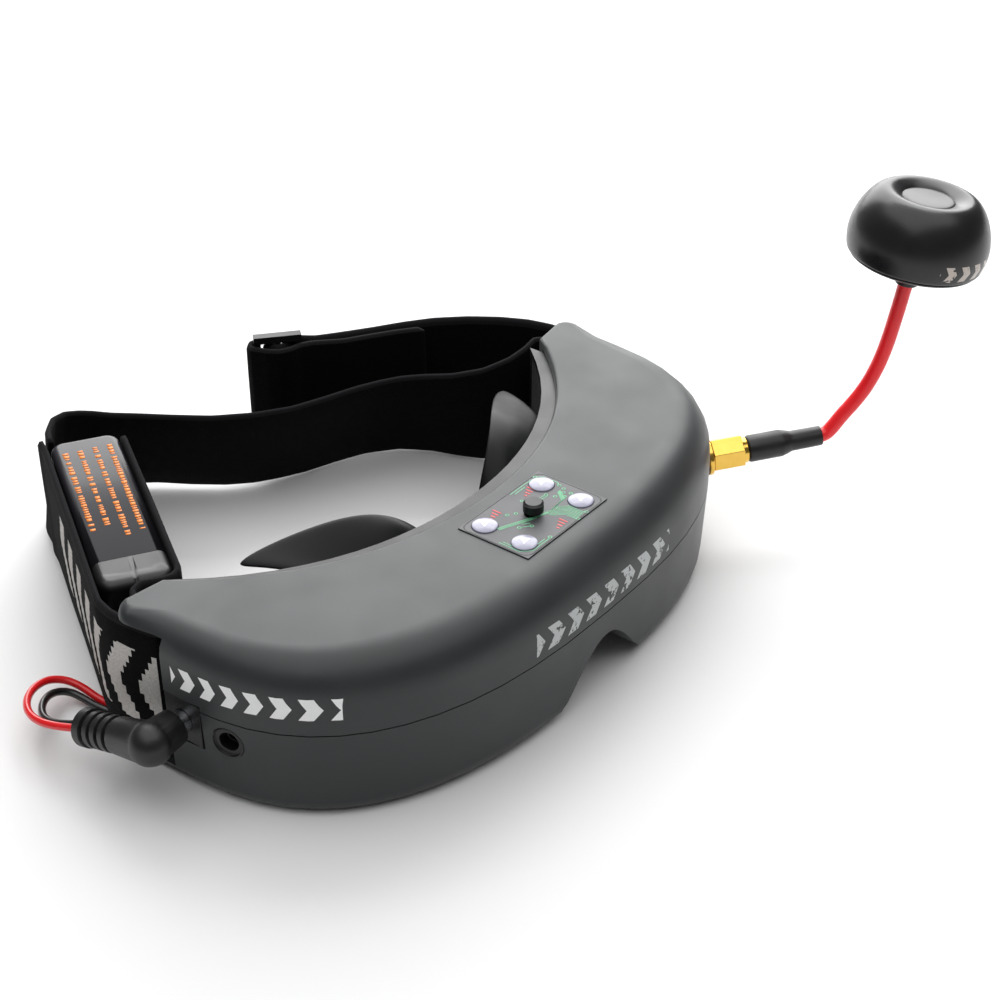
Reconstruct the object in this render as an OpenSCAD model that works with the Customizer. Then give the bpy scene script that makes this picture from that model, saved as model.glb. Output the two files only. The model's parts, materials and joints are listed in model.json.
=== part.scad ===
// Video goggles with an elastic head strap, a battery pocket and a whip aerial.
// Upright on the flat floor, front face towards -Y, aerial on the +X side. Millimetres.
// The modules are drawn from the floor under the middle of the button panel; seat() moves them all.

/* [Body] */
// Overall width across the temples
body_w = 172; // [160:1:184]
// Overall height of the two shells
body_h = 42; // [38:1:48]
// Height of the joint between the shells
part_z = 24; // [20:0.5:27]
// Front face, measured forward from the button panel centre
front_d = 22.5; // [20:0.5:26]
// Temple ends, measured back from the button panel centre
temple_d = 53; // [50:1:58]
// Rear edge behind the nose, measured back from the button panel centre
rear_d = 14.5; // [13:0.5:18]
// Shell wall
wall = 2.2; // [1.6:0.1:3]
// Soft upper edge radius
top_round = 11; // [6:0.5:12]
// Lower edge radius
base_round = 5; // [3:0.5:7]
// Half width of the nose arch at the floor
nose_w = 18; // [14:0.5:22]
// Height of the nose arch
nose_h = 17; // [12:0.5:18]

/* [Button panel] */
// Label length across the body
label_w = 31.4; // [28:0.2:36]
// Label depth
label_d = 20.4; // [18:0.2:24]
// Label thickness
label_t = 0.3; // [0.2:0.1:0.5]
// Button radius
button_r = 3.1; // [2.6:0.1:3.6]
// Button spacing, half of the distance across
button_dx = 11.2; // [9:0.1:12]
// Button spacing, half of the distance front to back
button_dy = 5.8; // [5:0.1:7]
// Button travel
button_travel = 0.4; // [0.2:0.05:0.6]
// Radial running clearance of the buttons
button_gap = 0.08; // [0.05:0.01:0.15]
// Joystick cap radius
stick_r = 2.5; // [2:0.1:3]

/* [Optics] */
// Distance from the middle to each eye
eye_x = 31.5; // [29:0.5:34]
// Height of the optical axis
eye_z = 20; // [18:0.5:22]
// Eyepiece lens radius
lens_r = 11.5; // [9:0.5:13]

/* [Aerial] */
// Direction of the aerial socket, turned forward from +X
aerial_turn = 41; // [34:1:47]
// Rise of the aerial socket
aerial_rise = 5; // [0:1:8]
// Thread radius of the socket
thread_r = 3.1; // [2.9:0.1:3.3]
// Nut size across the flats
nut_flats = 8; // [7:0.5:10]
// Coax radius
coax_r = 1.95; // [1.5:0.05:2.2]
// Dome radius
dome_r = 18.4; // [15:0.2:20]
// Dome height
dome_h = 20; // [16:0.5:24]

/* [Strap] */
// Webbing width
strap_w = 36; // [32:1:37]
// Webbing thickness
strap_t = 1.8; // [1.2:0.1:2.2]
// Temple bar radius
bar_r = 1.5; // [1.2:0.1:1.8]

/* [Battery and lead] */
// Battery length
pack_l = 67; // [60:1:70]
// Battery thickness
pack_t = 17.5; // [15:0.5:18]
// Battery height
pack_h = 35; // [32:1:36]
// Lead wire radius
wire_r = 0.95; // [0.8:0.05:1]
// Radius of the power plug barrel
plug_r = 2.7; // [2.6:0.05:2.8]
// Radius of the sound and video socket
av_r = 1.8; // [1.75:0.05:1.9]

/* [Hidden] */
$fn = 48;

// Colours used for the preview
c_shell = "#3f4346";
c_black = "#18191b";
c_rubber = "#242527";
c_glass = "#b9c7d6";
c_board = "#1d6b3a";
c_gold = "#d7ad4b";
c_steel = "#a9adb2";
c_red = "#c81e22";
c_label = "#8d9396";
c_dome = "#c9c8dc";
c_pack = "#3a353f";
c_web = "#101114";

// Body outline
half_w = body_w / 2;
bulge_y = 38;
bulge_b = front_d + bulge_y;
bulge_n = 2.6;
inner_x = 71.5;
cols = 40;
corner_r = 4.5;

function lerp(a, b, t) = a + (b - a) * t;
function rear_y(x) = rear_d + 0.0052 * x * x + 3.8e-7 * pow(x, 4);
function front_x(a) = -half_w * sign(cos(a)) * pow(abs(cos(a)), 2 / bulge_n);
function front_y(a) = bulge_y - bulge_b * pow(abs(sin(a)), 2 / bulge_n);

// Left end corner, left side, front, right side, right end corner: [x, y, roundness]
left_corner = [
    for (a = [90:22.5:180]) [
        -half_w + corner_r + corner_r * cos(a),
        temple_d - corner_r + corner_r * sin(a),
        lerp(0.2, 0.32, (a - 90) / 90)
    ]
];
left_side = [[-half_w, 46, 0.42], [-half_w, 43, 0.54], [-half_w, 40.5, 0.64]];
front_arc = [
    for (i = [0:cols - 14]) let (a = lerp(3, 177, i / (cols - 14)))
        [front_x(a), front_y(a), lerp(0.7, 1, sin(a))]
];
half_front = concat(left_corner, left_side);
mirrored = [for (i = [len(half_front) - 1:-1:0]) [-half_front[i][0], half_front[i][1], half_front[i][2]]];
front_line = concat(half_front, front_arc, mirrored);
count = len(front_line);
rear_line = [
    for (i = [0:count - 1]) let (x = lerp(-inner_x, inner_x, i / (count - 1)))
        [x, min(rear_y(x), temple_d), 0.12]
];
loop = concat(front_line, [for (i = [count - 1:-1:0]) rear_line[i]]);
loop_n = len(loop);

function unit(v) = v / max(norm(v), 1e-9);
function wrap(i, n) = (i + n) % n;
function side(i) = unit([loop[wrap(i + 1, loop_n)][0] - loop[wrap(i - 1, loop_n)][0],
    loop[wrap(i + 1, loop_n)][1] - loop[wrap(i - 1, loop_n)][1]]);
function out(i) = [side(i)[1], -side(i)[0]];

// One ring of the outline, pulled in by the inset and by the rounding angle
function ring(inset, r, a, z, sgn, back) = [
    for (i = [0:loop_n - 1]) let (
        k = max(r * loop[i][2] - (inset < 1 ? 0 : inset * 0.6), 0.4),
        d = (i >= count ? back : inset) + k * (1 - cos(a))
    )
        [loop[i][0] - out(i)[0] * d, loop[i][1] - out(i)[1] * d, z - sgn * k * (1 - sin(a))]
];
function level(inset, z, back) = [
    for (i = [0:loop_n - 1]) let (d = i >= count ? back : inset)
        [loop[i][0] - out(i)[0] * d, loop[i][1] - out(i)[1] * d, z]
];

// Rings listed from the floor up, all with the same number of points
module skin(rings) {
    n = len(rings[0]);
    m = len(rings);
    half = n / 2;
    polyhedron(
        points = [for (r = rings) for (p = r) p],
        faces = concat(
            [for (j = [0:m - 2]) for (i = [0:n - 1])
                [j * n + i, (j + 1) * n + i, (j + 1) * n + (i + 1) % n]],
            [for (j = [0:m - 2]) for (i = [0:n - 1])
                [j * n + i, (j + 1) * n + (i + 1) % n, j * n + (i + 1) % n]],
            [for (i = [0:half - 2]) [i, i + 1, n - 2 - i]],
            [for (i = [0:half - 2]) [i, n - 2 - i, n - 1 - i]],
            [for (i = [0:half - 2]) [(m - 1) * n + i, (m - 1) * n + n - 2 - i, (m - 1) * n + i + 1]],
            [for (i = [0:half - 2])
                [(m - 1) * n + i, (m - 1) * n + n - 1 - i, (m - 1) * n + n - 2 - i]]
        )
    );
}

seam = 0.15;
module outer_top() {
    skin(concat([level(0, part_z + seam, 0)],
        [for (a = [0:18:90]) ring(0, top_round, a, body_h, 1, 0)]));
}
module outer_bottom() {
    skin(concat([for (a = [90:-22.5:0]) ring(0.9, base_round, a, 0, -1, 0)],
        [level(0, part_z - seam, 0)]));
}
module hollow_top() {
    skin(concat([level(wall, part_z - 1, -8)],
        [for (a = [0:22.5:90]) ring(wall, top_round, a, body_h - wall, 1, -8)]));
}
module hollow_bottom() {
    skin(concat([for (a = [90:-30:0]) ring(wall + 0.9, base_round, a, wall, -1, -8)],
        [level(wall, part_z + 1, -8)]));
}

// Nose arch as a bell-shaped tunnel running back
arch = [for (i = [-12:12]) let (x = i / 12) [x * nose_w * 1.25, nose_h * (0.5 + 0.5 * cos(180 * x))]];
module nose_tunnel(extra) {
    translate([0, 70, 0])
        rotate([90, 0, 0])
            linear_extrude(120)
                polygon(concat([for (p = arch) [p[0] * (1 + extra / nose_w), p[1] + extra]],
                    [[nose_w * 1.25 * (1 + extra / nose_w), -5], [-nose_w * 1.25 * (1 + extra / nose_w), -5]]));
}

// Strap pockets at the temples
slot_x = 75;
slot_y = 38;
bar_x = 80.6;
bar_y = 43;
bar_z = 1.2;
bar_h = strap_w + 2.7;
module pocket_wall(s) {
    translate([0, 0, -1])
        linear_extrude(body_h + 2)
            polygon([[s * 69.4, 40], [s * 69.4, 49], [s * 72.4, 56], [s * slot_x, 56],
                [s * slot_x, slot_y], [s * 90, slot_y], [s * 90, slot_y - 2.4], [s * 72, slot_y - 2.4]]);
}
module pocket_cut(s) {
    translate([min(s * slot_x, s * 92), slot_y, 2.6])
        cube([17, 30, strap_w + 0.2]);
}
module bar_hole(s) {
    translate([s * bar_x, bar_y, bar_z])
        cylinder(r = bar_r + 0.03, h = bar_h);
}

// Screws: two in front, two at the sides
screws = [[-56, 2], [56, 2], [-64, 22], [64, 22]];
boss_r = 3.4;
module posts(r, z0, z1) {
    for (p = screws)
        translate([p[0], p[1], z0])
            cylinder(r = r, h = z1 - z0);
}

// Aerial socket frame: local +Z runs out along the socket
sma = [71.2 * body_w / 172, -4.05, part_z + 0.3];
ax = [cos(aerial_turn) * cos(aerial_rise), -sin(aerial_turn) * cos(aerial_rise), sin(aerial_rise)];
module on_sma() {
    translate(sma)
        rotate([0, 90 - aerial_rise, -aerial_turn])
            children();
}

// Left end sockets
jack_y = 33;
jack_z = 19;
av_y = 20.5;
av_z = 18;
av_turn = 15;
av_x = -84.4 * body_w / 172;
module on_av() {
    translate([av_x, av_y, av_z])
        rotate([0, -90, av_turn])
            children();
}

module top_shell() color(c_shell) difference() {
    outer_top();
    difference() {
        hollow_top();
        pocket_wall(-1);
        pocket_wall(1);
        posts(boss_r, part_z, body_h);
    }
    pocket_cut(-1);
    pocket_cut(1);
    bar_hole(-1);
    bar_hole(1);
    posts(1.2, part_z - 1, body_h - 6);
    translate([-label_w / 2 - 0.15, -label_d / 2 - 0.15, body_h - 0.2])
        cube([label_w + 0.3, label_d + 0.3, 2]);
    for (x = [-1, 1], y = [-1, 1])
        translate([x * button_dx, y * button_dy, body_h - 8])
            cylinder(r = button_r + button_gap, h = 12);
    translate([0, 0, body_h - 8])
        cylinder(r = 2.2, h = 12);
    on_sma() translate([0, 0, -16]) cylinder(r = thread_r + 0.05, h = 30);
    on_sma() translate([0, 0, -0.6]) cylinder(r = 6, h = 12);
    translate([-half_w - 1, jack_y - 5.7, jack_z - 6])
        cube([14, 11.4, 12.4]);
    on_av() translate([0, 0, -16]) cylinder(r = 4.1, h = 30);
}

module bottom_shell() color(c_shell) difference() {
    outer_bottom();
    difference() {
        hollow_bottom();
        pocket_wall(-1);
        pocket_wall(1);
        nose_tunnel(wall);
        posts(boss_r, 0, part_z);
    }
    nose_tunnel(0);
    pocket_cut(-1);
    pocket_cut(1);
    bar_hole(-1);
    bar_hole(1);
    posts(1.6, -1, part_z + 1);
    posts(2.7, -1, 6);
    on_sma() translate([0, 0, -16]) cylinder(r = thread_r + 0.05, h = 30);
    on_sma() translate([0, 0, -0.6]) cylinder(r = 6, h = 12);
    translate([-half_w - 1, jack_y - 5.7, jack_z - 6])
        cube([14, 11.4, 12.4]);
    on_av() translate([0, 0, -16]) cylinder(r = 4.1, h = 30);
}

// Rear faceplate: a shallow tray that follows the rear edge
face_x = 68.8;
function band(d0, d1, x0, x1) = concat(
    [for (i = [0:24]) let (x = lerp(x0, x1, i / 24)) [x, rear_y(x) + d0]],
    [for (i = [24:-1:0]) let (x = lerp(x0, x1, i / 24)) [x, rear_y(x) + d1]]
);
face_lo = wall + 0.4;
face_hi = body_h - wall - 0.4;
module strip(z0, z1, d0, d1, x0, x1) {
    translate([0, 0, z0])
        linear_extrude(z1 - z0)
            polygon(band(d0, d1, x0, x1));
}
module rear_faceplate() color(c_black) difference() {
    union() {
        strip(face_lo, face_hi, -2.4, -0.4, -face_x, face_x);
        strip(face_hi - 1.8, face_hi, -1, 4.6, -face_x, face_x);
        strip(face_lo, face_lo + 1.8, -1, 4.6, -face_x, face_x);
        strip(face_lo, face_hi, -1, 4.6, -face_x, -face_x + 1.6);
        strip(face_lo, face_hi, -1, 4.6, face_x - 1.6, face_x);
        intersection() {
            strip(face_lo, face_hi, -1, 4.6, -face_x, face_x);
            nose_tunnel(wall + 0.4 + 1.8);
        }
    }
    nose_tunnel(wall + 0.4);
    for (s = [-1, 1])
        translate([s * eye_x, 40, eye_z])
            rotate([90, 0, 0])
                cylinder(r = lens_r + 2.4, h = 60);
}

// Light shields: a soft sheet from the tray to a free edge
shield_free = [
    [52, 49, 35], [46, 47, 37], [39, 42.5, 39.5], [32, 37.5, 41.6], [26.5, 33.5, 42.2], [22, 30.6, 41.4],
    [18.5, 28.6, 39.6], [15, 27, 36.6], [12, 25.8, 32.7], [9.9, 25.2, 28], [10.2, 25.8, 22.5],
    [12.8, 27.2, 17], [18, 29.6, 11.6], [26, 33, 7.8], [35, 37.5, 6], [44, 42.5, 6.4]
];
shield_root = [
    [44, 29.4, 36], [40.5, 27.8, 35.8], [36.5, 26, 35.6], [32, 24.4, 35.4], [28, 22.8, 35.2], [24.5, 21.8, 35],
    [21, 20.8, 34.6], [17.6, 19.8, 33.6], [14.8, 18.7, 31.8], [13.2, 18.5, 28.4], [13.4, 18.5, 24],
    [17.6, 19.1, 19.6], [24.5, 20.4, 13.2], [30, 22, 8.4], [36, 24.4, 6.2], [43, 27.8, 6.4]
];
shield_t = 1.2;
function cross3(a, b) = [a[1] * b[2] - a[2] * b[1], a[2] * b[0] - a[0] * b[2], a[0] * b[1] - a[1] * b[0]];
function shield_n(i) = let (
    j = max(i - 1, 0),
    k = min(i + 1, len(shield_free) - 1)
) unit(cross3(shield_free[k] + shield_root[k] - shield_free[j] - shield_root[j], shield_free[i] - shield_root[i]));
module light_shield(s) {
    n = len(shield_free);
    pts = concat(
        [for (i = [0:n - 1]) shield_root[i] + shield_n(i) * shield_t / 2],
        [for (i = [0:n - 1]) shield_free[i] + shield_n(i) * shield_t / 2],
        [for (i = [0:n - 1]) shield_free[i] - shield_n(i) * shield_t / 2],
        [for (i = [0:n - 1]) shield_root[i] - shield_n(i) * shield_t / 2]
    );
    quads = concat(
        [for (j = [0:3]) for (i = [0:n - 2])
            [j * n + i, j * n + i + 1, ((j + 1) % 4) * n + i + 1]],
        [for (j = [0:3]) for (i = [0:n - 2])
            [j * n + i, ((j + 1) % 4) * n + i + 1, ((j + 1) % 4) * n + i]],
        [[0, n, 2 * n], [0, 2 * n, 3 * n]],
        [[4 * n - 1, 3 * n - 1, 2 * n - 1], [4 * n - 1, 2 * n - 1, n - 1]]
    );
    polyhedron(
        points = [for (p = pts) [s * p[0], p[1], p[2]]],
        faces = [for (f = quads) s > 0 ? f : [f[2], f[1], f[0]]]
    );
}
module light_shield_left() color(c_rubber) light_shield(-1);
module light_shield_right() color(c_rubber) light_shield(1);

// Optics: eyepiece lens, barrel and display panel for each eye
lens_back = rear_y(eye_x) - 0.6;
module on_eye(s) {
    translate([s * eye_x, lens_back, eye_z])
        rotate([90, 0, 0])
            children();
}
module eyepiece_lens(s) {
    on_eye(s)
        rotate_extrude()
            polygon(concat([for (i = [0:8]) [lens_r * i / 8, 0.2 - 1.6 * (1 - pow(i / 8, 2)) + 1.6]],
                [for (i = [8:-1:0]) [lens_r * i / 8, 3.2 + 2.2 * (1 - pow(i / 8, 2))]]));
}
module eyepiece_lens_left() color(c_glass) eyepiece_lens(-1);
module eyepiece_lens_right() color(c_glass) eyepiece_lens(1);

module lens_barrel(s) {
    on_eye(s)
        rotate_extrude()
            polygon([[lens_r + 0.1, 0], [lens_r + 2.3, 0], [lens_r + 2.3, 24], [lens_r - 1, 24],
                [lens_r - 1, 6.2], [lens_r + 0.1, 6.2]]);
}
module lens_barrel_left() color(c_black) lens_barrel(-1);
module lens_barrel_right() color(c_black) lens_barrel(1);

module display(s) {
    on_eye(s)
        translate([-9, -7, 24.2])
            cube([18, 14, 2.4]);
}
module display_left() color("#20252c") display(-1);
module display_right() color("#20252c") display(1);

module display_board() color(c_board) difference() {
    translate([-46, lens_back - 28.4, 12])
        cube([92, 1.4, 18]);
    nose_tunnel(wall + 0.4);
}

// Boards and radio
deck_z = body_h - wall - 3.8;
module button_board() color(c_board) union() {
    translate([-17, -11, deck_z - 1.2])
        cube([34, 22, 1.2]);
    for (x = [-1, 1], y = [-1, 1])
        translate([x * button_dx - 2.2, y * button_dy - 2.2, deck_z - 0.1])
            cube([4.4, 4.4, 1.3]);
}
module main_board() color(c_board) difference() {
    translate([-46, -8, 35])
        cube([24, 17, 1.4]);
    translate([-30, 0, 34])
        cylinder(r = 1.2, h = 4);
}
radio_x = [eye_x + lens_r + 3, screws[3][0] - boss_r - 0.4];
module receiver_module() color(c_steel) union() {
    translate([radio_x[0] + 1.2, 9, 20])
        cube([radio_x[1] - radio_x[0] - 1.2, 11, 12]);
    translate([radio_x[0], 7.6, 18.6])
        cube([radio_x[1] - radio_x[0], 13.6, 1.5]);
}

// Aerial socket and aerial
module sma_socket() color(c_gold) on_sma() difference() {
    union() {
        translate([0, 0, -7]) cylinder(r = thread_r, h = 14.5);
        translate([0, 0, -5.4]) cylinder(r = 4.6, h = 2);
    }
    translate([0, 0, 2]) cylinder(r = 2.3, h = 10);
}
module sma_washer() color(c_gold) on_sma() difference() {
    cylinder(r = 5, h = 1.2);
    translate([0, 0, -1]) cylinder(r = thread_r + 0.03, h = 4);
}
module antenna_nut() color(c_gold) on_sma() difference() {
    union() {
        translate([0, 0, 1.5]) cylinder(r = nut_flats / 2 / cos(30), h = 8.3, $fn = 6);
        translate([0, 0, 9.5]) cylinder(r = 3.5, h = 1.6);
    }
    cylinder(r = thread_r + 0.07, h = 8.7);
    translate([0, 0, 6]) cylinder(r = 2.56, h = 9);
}
module antenna_ferrule() color(c_gold) on_sma() union() {
    translate([0, 0, 8]) cylinder(r = 2.5, h = 6);
    translate([0, 0, 7.7]) cylinder(r = thread_r - 0.1, h = 0.8);
    translate([0, 0, 2.5]) cylinder(r = 0.5, h = 6);
}
module antenna_sleeve() color(c_black) on_sma() difference() {
    rotate_extrude()
        polygon([[0, 11.3], [3.2, 11.3], [3.6, 12], [3.6, 20.5], [3.2, 22], [2.7, 23.5], [2.6, 31.8], [0, 31.8]]);
    translate([0, 0, 8]) cylinder(r = 2.5, h = 6.02);
    translate([0, 0, 14]) cylinder(r = coax_r, h = 30);
}

// Coax centre line as [along the socket direction, height], both from the socket
coax_path = [
    [26, 2.3], [29, 2.55], [32.9, 2.9], [34.8, 5], [37, 8.3], [40, 11.9], [42.6, 15.7], [44.7, 20],
    [46.4, 24.8], [47.6, 29.6], [48.6, 34.8], [49.6, 40.4], [50.6, 46.4], [51.1, 49.4]
];
function aerial_point(p) = [sma[0] + p[0] * cos(aerial_turn), sma[1] - p[0] * sin(aerial_turn), sma[2] + p[1]];
coax_pts = concat(
    [for (s = [15:5.5:26]) sma + ax * s],
    [for (i = [1:len(coax_path) - 1]) aerial_point(coax_path[i])]
);
// Tube along points, ring of k corners
function tube_dir(p, i) = unit(p[min(i + 1, len(p) - 1)] - p[max(i - 1, 0)]);
function tube_ring(p, i, r, k, ref) = let (
    d = tube_dir(p, i),
    u = unit(cross3(d, ref)),
    v = cross3(d, u)
) [for (j = [0:k - 1]) p[i] + r * (cos(360 * j / k) * u + sin(360 * j / k) * v)];
module tube(p, r, k, ref) {
    n = len(p);
    polyhedron(
        points = concat([for (i = [0:n - 1]) for (q = tube_ring(p, i, r, k, ref)) q], [p[0], p[n - 1]]),
        faces = concat(
            [for (i = [0:n - 2]) for (j = [0:k - 1]) [i * k + j, i * k + (j + 1) % k, (i + 1) * k + (j + 1) % k]],
            [for (i = [0:n - 2]) for (j = [0:k - 1]) [i * k + j, (i + 1) * k + (j + 1) % k, (i + 1) * k + j]],
            [for (j = [0:k - 1]) [n * k, (j + 1) % k, j]],
            [for (j = [0:k - 1]) [n * k + 1, (n - 1) * k + j, (n - 1) * k + (j + 1) % k]]
        )
    );
}
aerial_side = [sin(aerial_turn), cos(aerial_turn), 0];
module antenna_stem() color(c_red) tube(coax_pts, coax_r - 0.02, 12, aerial_side);

dome_lean = 8;
module on_dome() {
    translate(aerial_point([51.1, 49.4]))
        rotate([0, dome_lean, -aerial_turn])
            children();
}
module antenna_collar() color(c_black) on_dome() difference() {
    translate([0, 0, -3.4]) cylinder(r1 = 2.9, r2 = 3.3, h = 5.4);
    translate([0, 0, -4.4]) cylinder(r = coax_r + 0.25, h = 4.6);
}
module antenna_base() color(c_black) on_dome()
    translate([0, 0, 2.05])
        rotate_extrude()
            polygon([[0, 0], [dome_r - 3.6, 0], [dome_r - 2.4, 0.5], [dome_r - 2, 1.4], [dome_r - 4.4, 1.4],
                [dome_r - 4.4, 3], [0, 3]]);
dome_line = [
    [0.885, 0.085], [0.945, 0.16], [0.985, 0.28], [1, 0.42], [0.985, 0.54], [0.93, 0.68], [0.84, 0.81],
    [0.72, 0.91], [0.58, 0.97], [0.46, 0.995], [0.4, 1]
];
module antenna_dome() color(c_black) on_dome()
    translate([0, 0, 2.05])
        rotate_extrude($fn = 64)
            polygon(concat([for (p = dome_line) [p[0] * dome_r, p[1] * dome_h + 0.05]],
                [[0.38 * dome_r, dome_h - 0.45], [0, dome_h - 0.45], [0, dome_h - 2],
                    [0.6 * dome_r, dome_h - 2.4], [0.84 * dome_r, 0.6 * dome_h],
                    [0.885 * dome_r, 0.3 * dome_h], [0.8 * dome_r, 0.085 * dome_h + 0.05]]));
module antenna_lobes() color(c_gold) on_dome()
    translate([0, 0, 5.5])
        for (a = [0, 120, 240])
            rotate([0, 0, a])
                translate([6.4, 0, 3.8])
                    rotate([50, 0, 0])
                        rotate_extrude($fn = 32)
                            translate([4.6, 0])
                                circle(r = 0.5, $fn = 16);

// Button panel
module control_label() color(c_label) difference() {
    translate([-label_w / 2, -label_d / 2, body_h - 0.2])
        cube([label_w, label_d, label_t + 0.2]);
    for (x = [-1, 1], y = [-1, 1])
        translate([x * button_dx, y * button_dy, body_h - 2])
            cylinder(r = button_r + button_gap, h = 4);
    translate([0, 0, body_h - 2])
        cylinder(r = 2.2, h = 4);
}
module panel_button(x, y) {
    translate([x * button_dx, y * button_dy, 0]) {
        intersection() {
            translate([0, 0, body_h - wall - 0.1])
                cylinder(r = button_r, h = 5);
            translate([0, 0, body_h + 1.2 - 8])
                sphere(r = 8, $fn = 64);
        }
        translate([0, 0, body_h - wall - 0.7])
            cylinder(r = button_r + 0.7, h = 0.65);
        translate([0, 0, deck_z + 1.2 + button_travel + 0.05])
            cylinder(r = 1, h = body_h - wall - 0.6 - deck_z - 1.2 - button_travel - 0.05);
    }
}
module button_rear_left() color(c_dome) panel_button(-1, 1);
module button_rear_right() color(c_dome) panel_button(1, 1);
module button_front_left() color(c_dome) panel_button(-1, -1);
module button_front_right() color(c_dome) panel_button(1, -1);

// Joystick: housing on the board, gimbal ring, tilting stem and a cap that presses down
stick_z = deck_z + 1.5;
module joystick_housing() color(c_steel) difference() {
    translate([-3.8, -3.8, deck_z + 0.05])
        cube([7.6, 7.6, 2.2]);
    translate([-3, -3, deck_z + 0.5])
        cube([6, 6, 3]);
    translate([-5, 0, stick_z])
        rotate([0, 90, 0])
            cylinder(r = 0.45, h = 10, $fn = 24);
}
module joystick_gimbal() color(c_steel) difference() {
    union() {
        translate([0, 0, stick_z - 0.5]) cylinder(r = 2.5, h = 1);
        translate([-3.6, 0, stick_z])
            rotate([0, 90, 0])
                cylinder(r = 0.4, h = 7.2, $fn = 24);
    }
    translate([0, 0, stick_z - 2]) cylinder(r = 1.6, h = 4);
    translate([0, 5, stick_z])
        rotate([90, 0, 0])
            cylinder(r = 0.42, h = 10, $fn = 24);
}
module joystick_stem() color(c_black) union() {
    translate([0, 0, stick_z - 0.6]) cylinder(r = 0.95, h = body_h + 2.2 - stick_z + 0.6);
    translate([0, 2.4, stick_z])
        rotate([90, 0, 0])
            cylinder(r = 0.36, h = 4.8, $fn = 24);
}
module joystick_cap() color(c_black) difference() {
    union() {
        translate([0, 0, body_h + 1.2]) cylinder(r = stick_r, h = 2.1);
        translate([0, 0, body_h + 3.25]) cylinder(r1 = stick_r, r2 = stick_r - 0.5, h = 0.5);
    }
    translate([0, 0, body_h]) cylinder(r = 1, h = 2.75);
}

// Power socket, plug and lead
module power_jack() color(c_black) difference() {
    union() {
        translate([-half_w + 0.5, jack_y - 5.4, jack_z - 5.6])
            cube([11, 10.8, 11.6]);
        translate([-half_w + 4, jack_y, jack_z])
            rotate([0, 90, 0])
                cylinder(r = 1, h = 8);
    }
    difference() {
        translate([-half_w - 1, jack_y, jack_z])
            rotate([0, 90, 0])
                cylinder(r = plug_r + 0.1, h = 10.6);
        translate([-half_w + 2.2, jack_y, jack_z])
            rotate([0, 90, 0])
                cylinder(r = 0.95, h = 10);
    }
}
module plug_barrel() color(c_steel)
    translate([-half_w - 3, jack_y, jack_z])
        rotate([0, 90, 0])
            difference() {
                cylinder(r = plug_r, h = 11.4);
                translate([0, 0, 3.2]) cylinder(r = 1.1, h = 10);
            }

elbow_x = -half_w - 9.6;
boot_dip = 16;
ball_r = 5.2;
module on_boot() {
    translate([elbow_x, jack_y, jack_z])
        rotate([-boot_dip, 0, 0])
            children();
}
// Local +X runs into the socket and local +Y runs along the boot
module plug_body() color(c_black) difference() {
    on_boot() {
        rotate([0, 0, 225])
            sphere(r = ball_r);
        rotate([0, 90, 0])
            cylinder(r1 = 5, r2 = 4.3, h = 7.2);
        rotate([-90, 0, 0])
            rotate_extrude()
                polygon([[0, 0], [5, 0], [4.6, 6], [4.3, 10.5], [3.5, 10.7], [3.5, 11.7], [4.3, 11.8],
                    [4.3, 13.3], [3.5, 13.4], [3.5, 14.4], [4.3, 14.5], [4.3, 16], [3.5, 16.1],
                    [3.5, 17.1], [4.3, 17.2], [4.3, 18.7], [3.5, 18.8], [3.5, 19.6], [4.6, 19.8],
                    [4.6, 22], [0, 22]]);
    }
    translate([-half_w - 3, jack_y, jack_z])
        rotate([0, 90, 0])
            cylinder(r = plug_r + 0.02, h = 10);
    on_boot()
        rotate([-90, 0, 0])
            for (x = [-1, 1])
                translate([x * 1.1, 0, 17.5])
                    cylinder(r = wire_r + 0.06, h = 6);
}

// Lead wires, from inside the boot to the underside of the battery
red_path = [
    [-96.7, 51.6, 13.65], [-96.7, 55.5, 12.55], [-98.4, 61, 11.4], [-99.2, 66.5, 10.4], [-98, 72, 9.5], [-94.5, 77, 8.6],
    [-89.5, 80.5, 7.4], [-84.4, 81.6, 6.2], [-80.6, 79.6, 4.8], [-79, 75.8, 3.4], [-78.6, 71.8, 2.1], [-78.2, 68, 1.45],
    [-77.2, 64.6, 1.3], [-75.2, 62.2, 1.3], [-73, 62, 1.5], [-71.6, 62.8, 2.1],
    [-71.2, 63, 3.1], [-71.2, 63, 4.4]
];
black_path = [
    [-94.5, 51.6, 13.65], [-94.5, 55.5, 12.55], [-95.8, 60.5, 10.6], [-96.6, 65.5, 9], [-95.6, 70, 7.8], [-92.6, 74.2, 6.8],
    [-88.4, 77.4, 5.6], [-84.6, 78.2, 4.4], [-81.8, 76.6, 3.2], [-80.9, 73.4, 2.2], [-80.6, 70, 1.6], [-80, 66.4, 1.3],
    [-78.8, 63, 1.2], [-76.6, 60.4, 1.2], [-73.4, 59.7, 1.3], [-71, 60.2, 1.7],
    [-69.9, 60.6, 2.8], [-69.9, 60.6, 4.4]
];
module power_wire_red() color(c_red) tube(red_path, wire_r, 10, [0, 0, 1]);
module power_wire_black() color(c_black) tube(black_path, wire_r, 10, [0, 0, 1]);

// Sound and video socket: the barrel sits behind the shell wall, and a bezel fills the hole in the wall
av_face = -3.2;
module av_jack() color(c_black) on_av() difference() {
    union() {
        translate([0, 0, -13]) cylinder(r = 3.2, h = 13 + av_face);
        translate([0, 0, -7]) cylinder(r = 4, h = 7 + av_face);
    }
    translate([0, 0, -11.5]) cylinder(r = av_r, h = 14);
}
module av_ring() color(c_black) on_av() difference() {
    translate([0, 0, av_face + 0.05]) cylinder(r = 4, h = 0.1 - av_face);
    translate([0, 0, av_face - 1]) cylinder(r = av_r + 0.6, h = 6);
    translate([0, 0, -0.45]) cylinder(r = 3.6, h = 3);
}

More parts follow.
